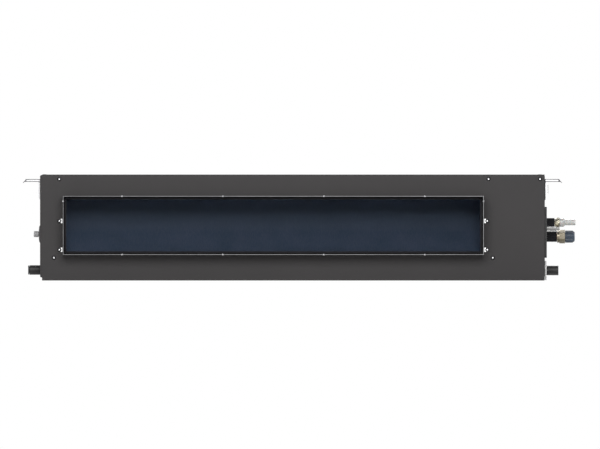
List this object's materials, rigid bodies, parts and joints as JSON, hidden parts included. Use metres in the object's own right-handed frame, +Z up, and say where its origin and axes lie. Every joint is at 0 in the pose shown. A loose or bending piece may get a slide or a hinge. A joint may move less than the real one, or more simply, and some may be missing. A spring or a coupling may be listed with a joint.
{
  "type": "ducted air conditioner",
  "caption": "Slim ducted air conditioner indoor unit with outlet collar, leaning coil, twin blowers, drain spouts, pipe connections and ceiling hangers.",
  "frame": {"origin": "middle of the underside of the casing, on the face that it rests on", "axes": "+X to the side with the pipes, -Y out of the air outlet, +Z up"},
  "size_m": [1.0951, 0.5437, 0.2106],
  "materials": {
    "painted_steel": "dark grey powder paint, fine texture",
    "galvanised": "galvanised sheet",
    "black_foam": "closed-cell foam, matt",
    "black_plastic": "moulded, satin",
    "filter_net": "woven net",
    "bright_steel": "zinc plated",
    "motor_shell": "plated shell",
    "rubber": "matt",
    "blue_fin": "blue coated fins",
    "copper": "drawn copper tube",
    "brass": "machined",
    "blue_cap": "moulded, satin",
    "pale_plastic": "translucent, satin",
    "grey_plastic": "moulded, satin",
    "board": "circuit board"
  },
  "bodies": {
    "casing": {"top_panel": "painted_steel", "top_insulation": "black_foam", "bottom_panel": "painted_steel", "service_panel": "painted_steel", "left_side_panel": "painted_steel", "right_side_panel": "painted_steel", "front_panel": "painted_steel", "return_frame": "painted_steel", "outlet_collar": "galvanised", "outlet_liner": "black_foam", "hanger_front_left": "galvanised", "hanger_front_right": "galvanised", "hanger_rear_left": "galvanised", "hanger_rear_right": "galvanised", "filter_rails": "galvanised", "fan_deck": "galvanised", "left_scroll_upper": "black_plastic", "left_scroll_lower": "black_plastic", "right_scroll_upper": "black_plastic", "right_scroll_lower": "black_plastic", "motor_body": "motor_shell", "motor_rings": "rubber", "motor_bracket": "galvanised", "coil_fins": "blue_fin", "coil_tubes": "copper", "return_bends": "copper", "coil_plate_left": "galvanised", "coil_plate_right": "galvanised", "gas_header": "copper", "liquid_line": "copper", "capillaries": "copper", "piping_plate": "black_plastic", "gas_sleeve": "black_foam", "liquid_sleeve": "black_foam", "grey_tube": "grey_plastic", "drain_pan": "black_plastic", "left_drain_spout": "black_plastic", "right_drain_spout": "black_plastic", "drain_ring": "pale_plastic", "inspection_disc": "painted_steel", "electrical_box": "galvanised", "electrical_cover": "galvanised", "control_board": "board", "terminal_block": "black_plastic", "cable_grommets": "rubber", "casing_screws": "bright_steel", "bracket_screws": "bright_steel", "collar_rivets": "bright_steel"},
    "fan": {"left_wheel": "black_plastic", "right_wheel": "black_plastic", "motor_shaft": "bright_steel"},
    "filter": {"filter_frame": "black_plastic", "filter_mesh": "filter_net", "filter_tab": "black_plastic"},
    "gas_nut": {"gas_nut": "brass"},
    "gas_cap": {"gas_cap": "blue_cap"},
    "liquid_nut": {"liquid_nut": "brass"},
    "liquid_cap": {"liquid_cap": "pale_plastic"},
    "drain_plug": {"drain_plug": "rubber"},
    "inspection_plug": {"inspection_plug": "grey_plastic"}
  },
  "joints": [
    {"name": "fan_spin", "type": "hinge", "parent": "casing", "child": "fan", "pos_m": [-0.0378, 0.12785, 0.09698], "axis": [1, 0, 0], "continuous": true},
    {"name": "filter_slide", "type": "slide", "parent": "casing", "child": "filter", "axis": [1, 0, 0], "range_m": [0, 0.84]},
    {"name": "gas_nut_turn", "type": "hinge", "parent": "casing", "child": "gas_nut", "pos_m": [0.524, -0.15946, 0.087], "axis": [1, 0, 0], "continuous": true},
    {"name": "gas_cap_pull", "type": "slide", "parent": "gas_nut", "child": "gas_cap", "axis": [1, 0, 0], "range_m": [0, 0.03]},
    {"name": "liquid_nut_turn", "type": "hinge", "parent": "casing", "child": "liquid_nut", "pos_m": [0.5195, -0.18946, 0.115], "axis": [1, 0, 0], "continuous": true},
    {"name": "liquid_cap_pull", "type": "slide", "parent": "liquid_nut", "child": "liquid_cap", "axis": [1, 0, 0], "range_m": [0, 0.03]},
    {"name": "drain_plug_pull", "type": "slide", "parent": "casing", "child": "drain_plug", "axis": [-1, 0, 0], "range_m": [0, 0.03]},
    {"name": "inspection_plug_pull", "type": "slide", "parent": "casing", "child": "inspection_plug", "axis": [-1, 0, 0], "range_m": [0, 0.02]}
  ]
}
